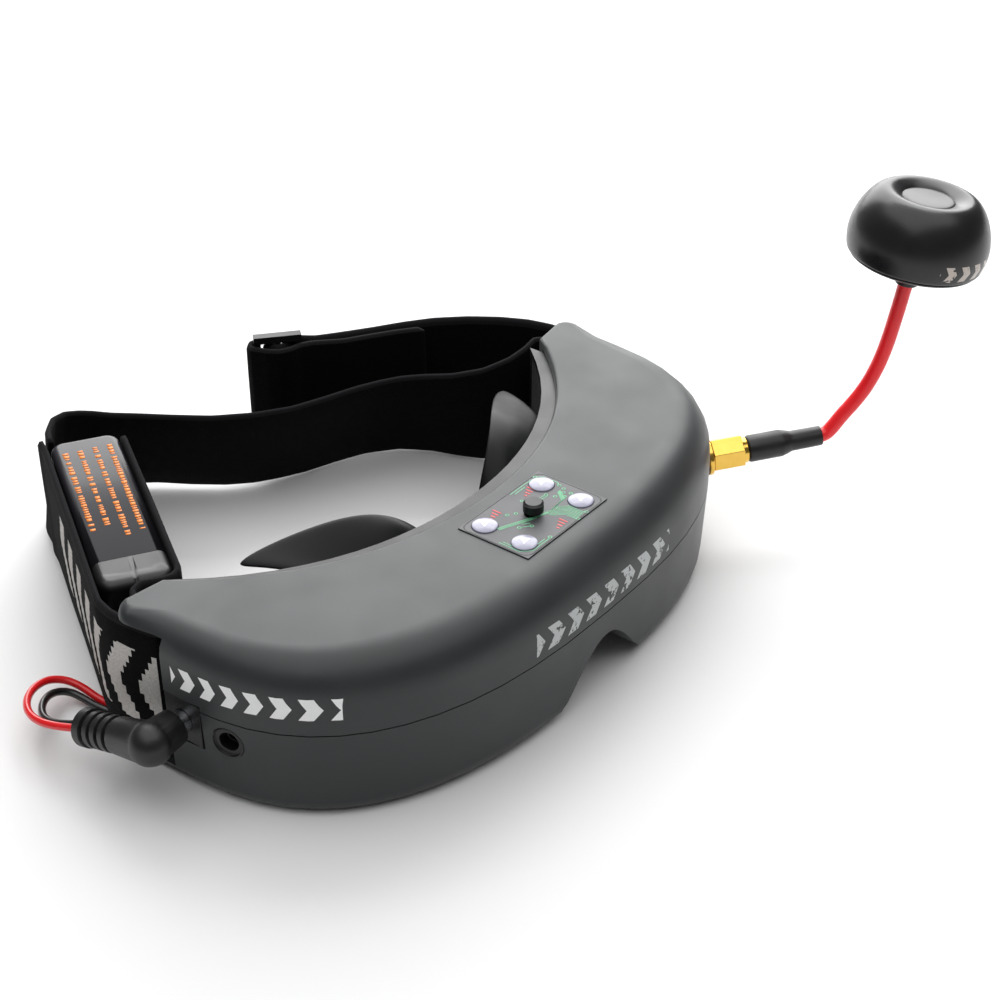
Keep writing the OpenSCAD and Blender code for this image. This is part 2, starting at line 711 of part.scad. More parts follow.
// Battery in its pocket: local X runs along the pack, local Y outward
pack_at = [-54.7, 87.1, 3.6];
pack_turn = 58.3;
module on_pack() {
    translate(pack_at)
        rotate([0, 0, pack_turn])
            children();
}
module rounded_plate(l, w, h, r) {
    linear_extrude(h)
        union() {
            translate([-l / 2 + r, -w / 2]) square([l - 2 * r, w]);
            translate([-l / 2, -w / 2 + r]) square([l, w - 2 * r]);
            for (x = [-1, 1], y = [-1, 1])
                translate([x * (l / 2 - r), y * (w / 2 - r)])
                    circle(r = r);
        }
}
module pack_solid() {
    intersection() {
        rounded_plate(pack_l, pack_t, pack_h, 3);
        translate([0, pack_t / 2 + 1, pack_h / 2])
            rotate([90, 0, 0])
                rounded_plate(pack_l, pack_h, pack_t + 2, 3.6);
    }
}
cap_l = 10;
module battery_case() color(c_pack) on_pack() difference() {
    pack_solid();
    translate([-pack_l / 2 - 1, -20, -1]) cube([cap_l + 1.15, 40, pack_h + 2]);
    translate([-pack_l / 2 + cap_l + 2, -pack_t / 2 + 1.2, pack_h - 0.15])
        cube([pack_l - cap_l - 8, pack_t - 2.4, 1]);
}
module battery_cap() color(c_black) difference() {
    on_pack() difference() {
        intersection() {
            pack_solid();
            translate([-pack_l / 2 - 1, -20, -1]) cube([cap_l + 1, 40, pack_h + 2]);
        }
        translate([-pack_l / 2 - 1, -0.2, pack_h - 12]) cube([cap_l + 4, 0.4, 13]);
        translate([-pack_l / 2 - 1, -0.2, -1]) cube([1.3, 0.4, pack_h + 2]);
    }
    // Both wires end against the floor of a round hole in the underside
    for (p = [red_path[len(red_path) - 1], black_path[len(black_path) - 1]])
        translate([p[0], p[1], 0])
            cylinder(r = wire_r + 0.3, h = p[2]);
}
module battery_label() color("#2c2a33") on_pack()
    translate([-pack_l / 2 + cap_l + 2.1, -pack_t / 2 + 1.3, pack_h - 0.15])
        cube([pack_l - cap_l - 8.2, pack_t - 2.6, 0.25]);

// Webbing: points [x, y, mid height, lean], the lean tips the top edge to the left of travel
function web_dir(p, i) = let (a = p[max(i - 1, 0)], b = p[min(i + 1, len(p) - 1)]) unit([b[0] - a[0], b[1] - a[1]]);
function web_ring(p, i, w, t) = let (
    d = web_dir(p, i),
    n = [-d[1], d[0], 0],
    c = [p[i][0], p[i][1], p[i][2]],
    u = n * sin(p[i][3]) + [0, 0, cos(p[i][3])],
    m = n * cos(p[i][3]) - [0, 0, sin(p[i][3])]
) [c - u * w / 2 - m * t / 2, c - u * w / 2 + m * t / 2, c + u * w / 2 + m * t / 2, c + u * w / 2 - m * t / 2];
module webbing(p, w, t) {
    n = len(p);
    polyhedron(
        points = [for (i = [0:n - 1]) for (q = web_ring(p, i, w, t)) q],
        faces = concat(
            [for (i = [0:n - 2]) for (j = [0:3]) [i * 4 + j, i * 4 + (j + 1) % 4, (i + 1) * 4 + (j + 1) % 4]],
            [for (i = [0:n - 2]) for (j = [0:3]) [i * 4 + j, (i + 1) * 4 + (j + 1) % 4, (i + 1) * 4 + j]],
            [[0, 2, 1], [0, 3, 2]],
            [[n * 4 - 4, n * 4 - 3, n * 4 - 2], [n * 4 - 4, n * 4 - 2, n * 4 - 1]]
        )
    );
}
wrap_r = bar_r + 0.12 + strap_t / 2;
web_z = 2.7 + strap_w / 2;
module bar_pin(s) {
    translate([s * bar_x, bar_y, bar_z])
        cylinder(r = bar_r, h = bar_h);
}
module strap_bar_left() color(c_steel) bar_pin(-1);
module strap_bar_right() color(c_steel) bar_pin(1);

// Left piece: inner pocket layer, round the battery end, round the bar and back along the outside
pu = [cos(pack_turn), sin(pack_turn)];
pn = [-sin(pack_turn), cos(pack_turn)];
lay = pack_t / 2 + 0.25 + strap_t / 2;
function by_pack(s, d) = [pack_at[0] + pu[0] * s + pn[0] * d, pack_at[1] + pu[1] * s + pn[1] * d];
function lift(q, z, a) = [for (p = q) [p[0], p[1], z, a]];
left_loop = concat(
    lift([for (s = [32:-8:-24]) by_pack(s, -lay)], web_z, 0),
    lift([for (a = [-90:-30:-180]) by_pack(-pack_l / 2 + 3 + (3.25 + strap_t / 2) * cos(a),
        -pack_t / 2 + 3 + (3.25 + strap_t / 2) * sin(a))], web_z, 0),
    lift([[-72.2, 57.6], [-75.3, 57.1], [-77.2, 54.6], [-77.9, 51]], web_z, 0),
    lift([for (a = [0:-30:-180]) [-bar_x + wrap_r * cos(a), bar_y + wrap_r * sin(a)]], web_z, 0),
    lift([[-84.1, 49], [-84.1, 55], [-82.7, 60.5]], web_z, 0),
    lift([for (s = [-29:7.5:31]) by_pack(s, lay)], web_z, 0),
    lift([by_pack(36, lay + 0.5)], web_z, 0)
);
module strap_left() color(c_web) webbing(left_loop, strap_w, strap_t);

// Long band: from the pocket end round the back to the right bar and out to the slider
slide_at = [30, 110.4];
slide_d = [-0.757, 0.653];
slide_n = [0.653, 0.757];
function by_slide(s, d) = [slide_at[0] + slide_d[0] * s + slide_n[0] * d, slide_at[1] + slide_d[1] * s + slide_n[1] * d];
band_line = concat(
    lift([by_pack(34.2, lay - strap_t - 0.2), by_pack(36.6, lay - strap_t - 0.1)], web_z, 0),
    [
        [-40.8, 126.2, 20.4, -4], [-36.6, 131.6, 20, -9], [-31.2, 135.2, 19.4, -15],
        [-25.2, 136.4, 18.8, -21], [-19.2, 134.8, 18.2, -24], [-13.8, 130.6, 17.8, -27], [-8.8, 124.6, 17.6, -28],
        [-3.4, 116.8, 17.4, -28], [2.6, 108.6, 17.4, -28], [9, 102, 17.4, -28], [16.6, 97, 17.4, -28],
        [25, 93.4, 17.4, -27], [33.4, 90.4, 17.4, -27], [41.4, 87, 17.4, -27], [48.2, 82.2, 17.4, -26],
        [53, 75.8, 17.4, -24], [56.4, 68.8, 17.6, -21], [60.4, 62.6, 18.4, -16], [65.4, 58.2, 19.4, -9],
        [70.6, 56.2, 20.2, -4], [75, 55.4, 20.7, 0], [77.4, 53.2, 20.7, 0], [78, 49.6, 20.7, 0]
    ],
    lift([for (a = [180:30:360]) [bar_x + wrap_r * cos(a), bar_y + wrap_r * sin(a)]], web_z, 0),
    lift([
        [84.1, 49.5], [84.2, 56], [82.4, 63], [78.8, 70.4], [73.6, 78], [67.4, 84.8], [60.4, 90.4],
        [52.6, 95.2], [44.8, 99.8], [38.6, 104]
    ], web_z, 0),
    lift([
        by_slide(-5.6, 2.3), by_slide(0, -2.3), by_slide(3.8, 1.5)
    ], web_z, 0)
);
module strap_band() color(c_web) webbing(band_line, strap_w, strap_t);

// Slider with three bars and the short tail that turns round its end bar
module strap_slider() color(c_black)
    translate([slide_at[0], slide_at[1], 0])
        rotate([0, 0, 139.2])
            union() {
                for (z = [0.35, strap_w + 3])
                    translate([-6.6, -1.3, z])
                        cube([13.2, 2.6, 2.05]);
                for (x = [-5.6, 0, 5.6])
                    translate([x, 0, 0.5])
                        cylinder(r = 0.95, h = strap_w + 4, $fn = 24);
            }
tail_line = concat(
    lift([by_slide(5.4, 2.6), by_slide(7.3, 1.6), by_slide(7.9, 0), by_slide(7.2, -1.5), by_slide(5.4, -2.5)], web_z, 0),
    lift([by_slide(3.2, -3.8), by_slide(0, -4.7), by_slide(-3, -3.9), by_slide(-6, -2.2), by_slide(-9.4, -1.6)], web_z, 0),
    lift([[42.2, 97], [48.6, 93.2], [55.2, 88.9], [61.8, 83.7]], web_z, 0)
);
module strap_tail() color(c_web) webbing(tail_line, strap_w, strap_t);

// Shell screws
module shell_screw(i) {
    translate([screws[i][0], screws[i][1], 0])
        difference() {
            union() {
                translate([0, 0, 3.4]) cylinder(r = 2.5, h = 2.5);
                translate([0, 0, 5.8]) cylinder(r = 1.15, h = 24);
            }
            translate([0, 0, 2]) cylinder(r = 1.2, h = 2.6, $fn = 6);
        }
}
module screw_front_left() color(c_steel) shell_screw(0);
module screw_front_right() color(c_steel) shell_screw(1);
module screw_side_left() color(c_steel) shell_screw(2);
module screw_side_right() color(c_steel) shell_screw(3);

// The origin is on the floor, in the middle of everything but the lead
dome_mid = aerial_point(coax_path[len(coax_path) - 1])
    + 10.5 * [sin(dome_lean) * cos(aerial_turn), -sin(dome_lean) * sin(aerial_turn), 0];
band_back = max([for (i = [0:len(band_line) - 1]) for (q = web_ring(band_line, i, strap_w, strap_t)) q[1]]);
seat_at = [(dome_mid[0] + dome_r - half_w) / 2, (dome_mid[1] - dome_r + band_back) / 2, 0];
module seat() {
    translate(-seat_at)
        children();
}

seat() top_shell();
seat() bottom_shell();
seat() rear_faceplate();
seat() light_shield_left();
seat() light_shield_right();
seat() eyepiece_lens_left();
seat() eyepiece_lens_right();
seat() lens_barrel_left();
seat() lens_barrel_right();
seat() display_left();
seat() display_right();
seat() display_board();
seat() button_board();
seat() main_board();
seat() receiver_module();
seat() sma_socket();
seat() sma_washer();
seat() antenna_nut();
seat() antenna_ferrule();
seat() antenna_sleeve();
seat() antenna_stem();
seat() antenna_collar();
seat() antenna_base();
seat() antenna_dome();
seat() antenna_lobes();
seat() control_label();
seat() button_rear_left();
seat() button_rear_right();
seat() button_front_left();
seat() button_front_right();
seat() joystick_housing();
seat() joystick_gimbal();
seat() joystick_stem();
seat() joystick_cap();
seat() power_jack();
seat() plug_barrel();
seat() plug_body();
seat() power_wire_red();
seat() power_wire_black();
seat() av_jack();
seat() av_ring();
seat() battery_case();
seat() battery_cap();
seat() battery_label();
seat() strap_bar_left();
seat() strap_bar_right();
seat() strap_left();
seat() strap_band();
seat() strap_slider();
seat() strap_tail();
seat() screw_front_left();
seat() screw_front_right();
seat() screw_side_left();
seat() screw_side_right();
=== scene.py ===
# Video goggles on a head strap, with a battery in a pocket and a whip aerial.
# Pieces are drawn in millimetres from the floor under the middle of the button panel, then put in the frame.
import json
import math
import random

import bmesh
import bpy
from mathutils import Matrix, Vector, noise

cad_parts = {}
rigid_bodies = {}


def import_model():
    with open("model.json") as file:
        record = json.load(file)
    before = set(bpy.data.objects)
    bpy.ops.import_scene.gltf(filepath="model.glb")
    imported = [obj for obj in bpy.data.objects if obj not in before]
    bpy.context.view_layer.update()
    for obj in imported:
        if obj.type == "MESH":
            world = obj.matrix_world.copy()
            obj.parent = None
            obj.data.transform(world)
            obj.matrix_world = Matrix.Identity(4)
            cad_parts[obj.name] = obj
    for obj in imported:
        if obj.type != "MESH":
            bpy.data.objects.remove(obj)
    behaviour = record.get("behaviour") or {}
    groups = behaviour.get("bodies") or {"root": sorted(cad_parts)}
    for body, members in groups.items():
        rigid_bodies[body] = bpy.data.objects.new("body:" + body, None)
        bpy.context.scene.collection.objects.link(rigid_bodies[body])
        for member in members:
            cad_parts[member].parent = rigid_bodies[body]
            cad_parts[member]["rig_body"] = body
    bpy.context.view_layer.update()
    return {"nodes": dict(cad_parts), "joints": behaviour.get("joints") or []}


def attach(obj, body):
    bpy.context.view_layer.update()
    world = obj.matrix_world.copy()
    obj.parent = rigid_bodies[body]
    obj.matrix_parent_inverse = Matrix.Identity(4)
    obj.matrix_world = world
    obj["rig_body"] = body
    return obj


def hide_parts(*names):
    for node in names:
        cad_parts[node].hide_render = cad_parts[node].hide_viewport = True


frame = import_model()
mm = 0.001
joints = {joint["name"]: joint for joint in frame["joints"]}
panelAt = Vector(joints["stick_pitch"]["pos_m"])
panelAt.z = 0
place = Matrix.Translation(panelAt) @ Matrix.Scale(mm, 4)
scene = bpy.context.scene
print("frame loaded,", len(frame["nodes"]), "nodes")


def srgb(code):
    channels = [int(code[i:i + 2], 16) / 255 for i in (1, 3, 5)]
    return [c / 12.92 if c <= 0.04045 else ((c + 0.055) / 1.055) ** 2.4 for c in channels] + [1]


def addNode(tree, kind, values=None, **settings):
    node = tree.nodes.new("ShaderNode" + kind)
    for name, value in settings.items():
        setattr(node, name, value)
    for socket, value in (values or {}).items():
        if isinstance(value, bpy.types.NodeSocket):
            tree.links.new(value, node.inputs[socket])
        else:
            node.inputs[socket].default_value = value
    return node


def newMaterial(name, colour, values):
    material = bpy.data.materials.new(name)
    material.use_nodes = True
    shader = material.node_tree.nodes["Principled BSDF"]
    shader.inputs["Base Color"].default_value = srgb(colour)
    for socket, value in values.items():
        shader.inputs[socket].default_value = value
    return material, material.node_tree, shader


def housingCoords(tree):
    # object coordinates turned into millimetres from under the button panel
    coords = addNode(tree, "TexCoord").outputs["Object"]
    shift = tuple(-panelAt / mm)
    turned = addNode(tree, "Mapping", {"Vector": coords, "Location": shift, "Scale": (1 / mm,) * 3})
    return turned.outputs["Vector"]


def addGrain(tree, shader, coords, grain):
    # fine moulded texture as bump, and soft patches in the gloss; sizes in mm
    fine = addNode(tree, "TexNoise", {"Vector": coords, "Scale": 1 / grain["size"], "Detail": 2})
    patch = addNode(tree, "TexNoise", {"Vector": coords, "Scale": 1 / grain["patch"], "Detail": 3})
    gloss = addNode(tree, "MapRange", {"Value": patch.outputs["Fac"], "From Min": 0.35, "From Max": 0.65,
                                      "To Min": grain["low"], "To Max": grain["high"]})
    bump = addNode(tree, "Bump", {"Height": fine.outputs["Fac"], "Distance": grain["depth"] * mm,
                                  "Strength": 1})
    tree.links.new(gloss.outputs["Result"], shader.inputs["Roughness"])
    tree.links.new(bump.outputs["Normal"], shader.inputs["Normal"])
    return patch


def tint(tree, shader, factor, dark, light):
    mix = addNode(tree, "Mix", {"Factor": factor, "A": srgb(dark), "B": srgb(light)}, data_type="RGBA")
    tree.links.new(mix.outputs["Result"], shader.inputs["Base Color"])
    return mix.outputs["Result"]


def between(tree, value, low, high):
    # 1 where value lies between low and high
    above = addNode(tree, "Math", {0: value, 1: low}, operation="GREATER_THAN")
    below = addNode(tree, "Math", {0: value, 1: high}, operation="LESS_THAN")
    return addNode(tree, "Math", {0: above.outputs[0], 1: below.outputs[0]}, operation="MULTIPLY").outputs[0]


def both(tree, *masks):
    result = masks[0]
    for mask in masks[1:]:
        result = addNode(tree, "Math", {0: result, 1: mask}, operation="MULTIPLY").outputs[0]
    return result


def chevrons(tree, along, across, stripe):
    # arrow stripes: 1 on the stripe, 0 between
    middle = (stripe["low"] + stripe["high"]) / 2
    rise = addNode(tree, "Math", {0: across, 1: middle}, operation="SUBTRACT").outputs[0]
    arm = addNode(tree, "Math", {0: rise}, operation="ABSOLUTE").outputs[0]
    lean = addNode(tree, "Math", {0: arm, 1: stripe["slope"], 2: along}, operation="MULTIPLY_ADD").outputs[0]
    turn = addNode(tree, "Math", {0: lean, 1: stripe["pitch"]}, operation="DIVIDE").outputs[0]
    step = addNode(tree, "Math", {0: turn}, operation="FRACT").outputs[0]
    return addNode(tree, "Math", {0: step, 1: stripe["share"]}, operation="LESS_THAN").outputs[0]


# soft-touch paint on moulded ABS: wide dull highlights over slightly green dark grey, with worn arrow prints
paint = {"dark": "#212426", "light": "#272b2c", "print": "#b9bdbd", "badge": "#f0f1f1"}
paintGrain = {"size": 0.35, "depth": 0.006, "patch": 18, "low": 0.42, "high": 0.5}
frontPrint = {"reach": 27, "low": 26, "high": 32.2, "front": -30, "back": -12, "pitch": 7, "share": 0.55,
              "slope": 0.7, "wear": 0.55, "kept": 0.43}
sidePrint = {"from": -3, "to": 35, "low": 28.4, "high": 34, "outer": -95, "inner": -60, "pitch": 5.6,
             "share": 0.5, "slope": -0.6}


def softTouchPaint():
    material, tree, shader = newMaterial("softTouchPaint", paint["dark"],
                                         {"Sheen Weight": 0.1, "Sheen Roughness": 0.4,
                                          "Specular IOR Level": 0.5})
    coords = housingCoords(tree)
    patch = addGrain(tree, shader, coords, paintGrain)
    base = tint(tree, shader, patch.outputs["Fac"], paint["dark"], paint["light"])
    axis = addNode(tree, "SeparateXYZ", {"Vector": coords}).outputs
    wear = addNode(tree, "TexNoise", {"Vector": coords, "Scale": frontPrint["wear"], "Detail": 6,
                                    "Roughness": 0.7})
    kept = addNode(tree, "Math", {0: wear.outputs["Fac"], 1: frontPrint["kept"]},
                   operation="GREATER_THAN").outputs[0]
    f = frontPrint
    front = both(tree, between(tree, axis["X"], -f["reach"], f["reach"]),
                 between(tree, axis["Z"], f["low"], f["high"]),
                 between(tree, axis["Y"], f["front"], f["back"]), kept,
                 chevrons(tree, axis["X"], axis["Z"], f))
    s = sidePrint
    side = both(tree, between(tree, axis["Y"], s["from"], s["to"]),
                between(tree, axis["Z"], s["low"], s["high"]),
                between(tree, axis["X"], s["outer"], s["inner"]),
                chevrons(tree, axis["Y"], axis["Z"], s))
    first = addNode(tree, "Mix", {"Factor": front, "A": base, "B": srgb(paint["print"])},
                    data_type="RGBA")
    second = addNode(tree, "Mix", {"Factor": side, "A": first.outputs["Result"], "B": srgb(paint["badge"])},
                     data_type="RGBA")
    tree.links.new(second.outputs["Result"], shader.inputs["Base Color"])
    return material


def plain(name, dark, light, values, grain):
    # one moulded, turned or plated finish with its grain and slow patches of colour
    material, tree, shader = newMaterial(name, dark, values)
    patch = addGrain(tree, shader, housingCoords(tree), grain)
    tint(tree, shader, patch.outputs["Fac"], dark, light)
    return material


def copyOf(node):
    # a welded copy of a CAD node, in millimetres
    bm = bmesh.new()
    bm.from_mesh(frame["nodes"][node].data)
    bmesh.ops.transform(bm, matrix=place.inverted(), verts=bm.verts)
    bmesh.ops.remove_doubles(bm, verts=bm.verts, dist=0.0005)
    return bm


def finishPiece(bm, name, material, body, stands=(), recalculate=True):
    if recalculate:
        bmesh.ops.recalc_face_normals(bm, faces=bm.faces)
    bmesh.ops.transform(bm, matrix=place, verts=bm.verts)
    mesh = bpy.data.meshes.new(name)
    bm.to_mesh(mesh)
    bm.free()
    mesh.materials.append(material)
    mesh.shade_smooth()
    piece = bpy.data.objects.new(name, mesh)
    scene.collection.objects.link(piece)
    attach(piece, body)
    if stands:
        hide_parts(*stands)
    return piece


def addModifier(piece, kind, **settings):
    modifier = piece.modifiers.new(kind.title().replace("_", ""), kind)
    for name, value in settings.items():
        setattr(modifier, name, value)
    return modifier


def smoothBy(piece, levels):
    addModifier(piece, "SUBSURF", levels=levels, render_levels=levels)


rounding = {"flat": 0.5, "sharp": 38}


def refine(node, material, bevel):
    # the CAD shape itself, welded, with rounded edges and even shading
    bm = copyOf(node)
    bmesh.ops.dissolve_limit(bm, angle_limit=math.radians(rounding["flat"]), verts=bm.verts, edges=bm.edges)
    words = node.split("_")
    name = words[0] + "".join(word.title() for word in words[1:])
    body = frame["nodes"][node]["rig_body"]
    piece = finishPiece(bm, name, material, body, (node,), False)
    addModifier(piece, "BEVEL", width=bevel * mm, segments=2, limit_method="ANGLE",
                angle_limit=math.radians(rounding["sharp"]), profile=0.5)
    addModifier(piece, "WEIGHTED_NORMAL", keep_sharp=True)


# camera and stage come first, because the cords depend on the view
camera = {"azimuth": -52.55, "elevation": 33.25, "distance": 480, "lens": 69.62, "sensor": 36,
          "target": (12, 19.1, 32.2)}


def makeCamera():
    a, e = math.radians(camera["azimuth"]), math.radians(camera["elevation"])
    back = Vector((math.sin(a) * math.cos(e), -math.cos(a) * math.cos(e), math.sin(e)))
    data = bpy.data.cameras.new("camera")
    data.lens = camera["lens"]
    data.sensor_width = camera["sensor"]
    viewer = bpy.data.objects.new("camera", data)
    viewer.location = place @ (Vector(camera["target"]) + back * camera["distance"])
    viewer.rotation_euler = back.to_track_quat("Z", "Y").to_euler()
    scene.collection.objects.link(viewer)
    scene.camera = viewer


lights = {
    "back": {"at": (608, 498, 513), "size": 1000, "watts": 13},
    "ceiling": {"at": (0, 20, 1000), "size": 1700, "watts": 15},
}
studio = {"middle": (10, 40, 20), "white": "#ffffff", "glow": 0.14, "floor": 2600, "under": 0.1}


def makeStage():
    middle = place @ Vector(studio["middle"])
    for name, light in lights.items():
        data = bpy.data.lights.new(name, "AREA")
        data.energy = light["watts"]
        data.size = light["size"] * mm
        lamp = bpy.data.objects.new(name, data)
        lamp.location = place @ Vector(light["at"])
        lamp.rotation_euler = (lamp.location - middle).to_track_quat("Z", "Y").to_euler()
        scene.collection.objects.link(lamp)
    world = bpy.data.worlds.new("studio")
    world.use_nodes = True
    backdrop = world.node_tree.nodes["Background"]
    backdrop.inputs["Color"].default_value = srgb(studio["white"])
    backdrop.inputs["Strength"].default_value = studio["glow"]
    scene.world = world
    scene.view_settings.view_transform = "Standard"
    bm = bmesh.new()
    bmesh.ops.create_grid(bm, x_segments=2, y_segments=2, size=studio["floor"])
    bmesh.ops.translate(bm, verts=bm.verts, vec=(0, 0, -studio["under"]))
    bmesh.ops.transform(bm, matrix=place, verts=bm.verts)
    mesh = bpy.data.meshes.new("floor")
    bm.to_mesh(mesh)
    bm.free()
    mesh.materials.append(plain("paperFloor", "#e6e6e6", "#e8e8e8", {}, {"size": 3, "depth": 0, "patch": 90,
                                                                        "low": 0.8, "high": 0.9}))
    floor = bpy.data.objects.new("floor", mesh)
    scene.collection.objects.link(floor)


makeCamera()
makeStage()
print("camera, lights and floor ready")

# the twin lead from the battery to the power plug
lead = {
    "diameter": 1.9,
    "red": [(-96.7, 51.6, 13.65), (-96.7, 55.5, 12.55), (-98.4, 61, 11.4), (-99.2, 66.5, 10.4),
            (-98, 72, 9.5), (-94.5, 77, 8.6), (-89.5, 80.5, 7.4), (-84.4, 81.6, 6.2),
            (-80.6, 79.6, 4.8), (-79, 75.8, 3.4), (-78.6, 71.8, 2.1), (-78.2, 68, 1.45),
            (-77.2, 64.6, 1.3), (-75.2, 62.2, 1.3), (-73, 62, 1.5), (-71.6, 62.8, 2.1),
            (-71.2, 63, 3.1), (-71.2, 63, 4.4)],
    "black": [(-94.5, 51.6, 13.65), (-94.5, 55.5, 12.55), (-95.8, 60.5, 10.6), (-96.6, 65.5, 9),
              (-95.6, 70, 7.8), (-92.6, 74.2, 6.8), (-88.4, 77.4, 5.6), (-84.6, 78.2, 4.4),
              (-81.8, 76.6, 3.2), (-80.9, 73.4, 2.2), (-80.6, 70, 1.6), (-80, 66.4, 1.3),
              (-78.8, 63, 1.2), (-76.6, 60.4, 1.2), (-73.4, 59.7, 1.3), (-71, 60.2, 1.7),
              (-69.9, 60.6, 2.8), (-69.9, 60.6, 4.4)],
}


def tubeCurve(name, points, diameter, material, body, stands):
    curve = bpy.data.curves.new(name, "CURVE")
    curve.dimensions = "3D"
    curve.bevel_depth = diameter / 2 * mm
    curve.bevel_resolution = 4
    curve.resolution_u = 6
    curve.use_fill_caps = True
    spline = curve.splines.new("NURBS")
    spline.points.add(len(points) - 1)
    for point, spot in zip(spline.points, points):
        point.co = (*(place @ Vector(spot)), 1)
    spline.use_endpoint_u = True
    spline.order_u = 3
    curve.materials.append(material)
    piece = bpy.data.objects.new(name, curve)
    scene.collection.objects.link(piece)
    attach(piece, body)
    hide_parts(*stands)
    return piece


def makeLead():
    redSilicone = plain("redSiliconeSleeve", "#d60b13", "#e2161d", {"Coat Weight": 0.3},
                        {"size": 0.5, "depth": 0.004, "patch": 5, "low": 0.28, "high": 0.36})
    blackSilicone = plain("blackSiliconeSleeve", "#0d0d0f", "#161618", {"Coat Weight": 0.3},
                          {"size": 0.5, "depth": 0.004, "patch": 5, "low": 0.28, "high": 0.36})
    for colour, material in (("red", redSilicone), ("black", blackSilicone)):
        route = list(reversed(lead[colour]))
        node = "power_wire_" + colour
        wire = tubeCurve(colour + "Wire", route, lead["diameter"], material, "goggles", (node,))


aerial = {"socket": (71.2, -4.05, 24.3), "turn": 41, "coax": 3.86, "rise": 5, "straight": (15, 20.5, 26),
          "path": [(26, 2.3), (29, 2.55), (32.9, 2.9), (34.8, 5), (37, 8.3), (40, 11.9), (42.6, 15.7),
                   (44.7, 20), (46.4, 24.8), (47.6, 29.6), (48.6, 34.8), (49.6, 40.4), (50.6, 46.4),
                   (51.1, 49.4)]}
dome = {"radius": 18.4, "lean": 8, "lift": 2.05, "steps": 32,
        "profile": [(0, 18.2), (3.6, 18.2), (6.6, 18.25), (6.75, 17.9), (6.95, 18.3), (8.6, 19),
                    (10.4, 19.6), (12.6, 19.2), (14.9, 17), (16.9, 13.4), (18, 9.6), (18.25, 6.4),
                    (17.7, 3.2), (17.3, 2.2), (16.9, 2.2), (15.6, 2.6)],
        "base": [(15.6, 1.9), (16.5, 1.9), (16.75, 1.7), (16.3, 1.1), (14.6, 0.5), (11, 0.15),
                 (6, 0.02), (2.5, 0)]}
domePrint = {"from": -30, "to": -2, "low": 5.4, "high": 9.6, "pitch": 4.6, "share": 0.52, "slope": 0.6}


def aerialPoint(s, h):
    a = math.radians(aerial["turn"])
    x, y, z = aerial["socket"]
    return (x + s * math.cos(a), y - s * math.sin(a), z + h)


def domeFrame():
    return (Matrix.Translation(aerialPoint(*aerial["path"][-1]))
            @ Matrix.Rotation(-math.radians(aerial["turn"]), 4, "Z")
            @ Matrix.Rotation(math.radians(dome["lean"]), 4, "Y"))


def satinDome():
    # satin injection-moulded dome with a worn pale arrow print round one side
    material, tree, shader = newMaterial("satinDomeAbs", "#101012", {"Specular IOR Level": 0.5})
    coords = housingCoords(tree)
    patch = addGrain(tree, shader, coords, {"size": 0.3, "depth": 0.003, "patch": 9,
                                            "low": 0.27, "high": 0.33})
    base = tint(tree, shader, patch.outputs["Fac"], "#0e0e10", "#161619")
    inverse = domeFrame().inverted()
    local = addNode(tree, "Mapping", {"Vector": coords, "Location": tuple(inverse.to_translation()),
                                      "Rotation": tuple(inverse.to_euler())})
    axis = addNode(tree, "SeparateXYZ", {"Vector": local.outputs["Vector"]}).outputs
    turn = addNode(tree, "Math", {0: axis["Y"], 1: axis["X"]}, operation="ARCTAN2").outputs[0]
    along = addNode(tree, "Math", {0: turn, 1: dome["radius"]}, operation="MULTIPLY").outputs[0]
    wear = addNode(tree, "TexNoise", {"Vector": coords, "Scale": 0.8, "Detail": 5})
    kept = addNode(tree, "Math", {0: wear.outputs["Fac"], 1: 0.4}, operation="GREATER_THAN").outputs[0]
    mask = both(tree, kept, between(tree, along, domePrint["from"], domePrint["to"]),
                between(tree, axis["Z"], domePrint["low"], domePrint["high"]),
                chevrons(tree, along, axis["Z"], domePrint))
    mix = addNode(tree, "Mix", {"Factor": mask, "A": base, "B": srgb("#c3b8b0")}, data_type="RGBA")
    tree.links.new(mix.outputs["Result"], shader.inputs["Base Color"])
    return material


def spun(profile, steps):
    # a profile of (radius, height) turned once round the height
    bm = bmesh.new()
    corners = [bm.verts.new((r, 0, z)) for r, z in profile]
    edges = [bm.edges.new(pair) for pair in zip(corners, corners[1:])]
    bmesh.ops.spin(bm, geom=corners + edges, cent=(0, 0, 0), axis=(0, 0, 1), angle=math.tau, steps=steps,
                   use_merge=True)
    bmesh.ops.remove_doubles(bm, verts=bm.verts, dist=0.0005)
    return bm


def makeAerial():
    jacket = plain("coaxJacket", "#f2101b", "#fa1824", {"Coat Weight": 0.1},
                   {"size": 0.4, "depth": 0.003, "patch": 6, "low": 0.38, "high": 0.46})
    rise = math.radians(aerial["rise"])
    start = Vector(aerial["socket"])
    turn = math.radians(aerial["turn"])
    way = Vector((math.cos(turn) * math.cos(rise), -math.sin(turn) * math.cos(rise), math.sin(rise)))
    line = [tuple(start + way * s) for s in aerial["straight"]]
    line += [aerialPoint(*p) for p in aerial["path"][1:]]
    tubeCurve("coaxStem", line, aerial["coax"], jacket, "antenna",
              ("antenna_stem",))
    satin = satinDome()
    seat = domeFrame() @ Matrix.Translation((0, 0, dome["lift"]))
    cap = spun(dome["profile"], dome["steps"])
    bmesh.ops.transform(cap, matrix=seat, verts=cap.verts)
    smoothBy(finishPiece(cap, "domeCap", satin, "antenna", ("antenna_dome",)), 2)
    plate = spun([(0, 1.9)] + dome["base"] + [(0, 0)], dome["steps"])
    bmesh.ops.transform(plate, matrix=seat, verts=plate.verts)
    smoothBy(finishPiece(plate, "domeBase", satin, "antenna", ("antenna_base",)), 2)


makeAerial()
print("aerial made")

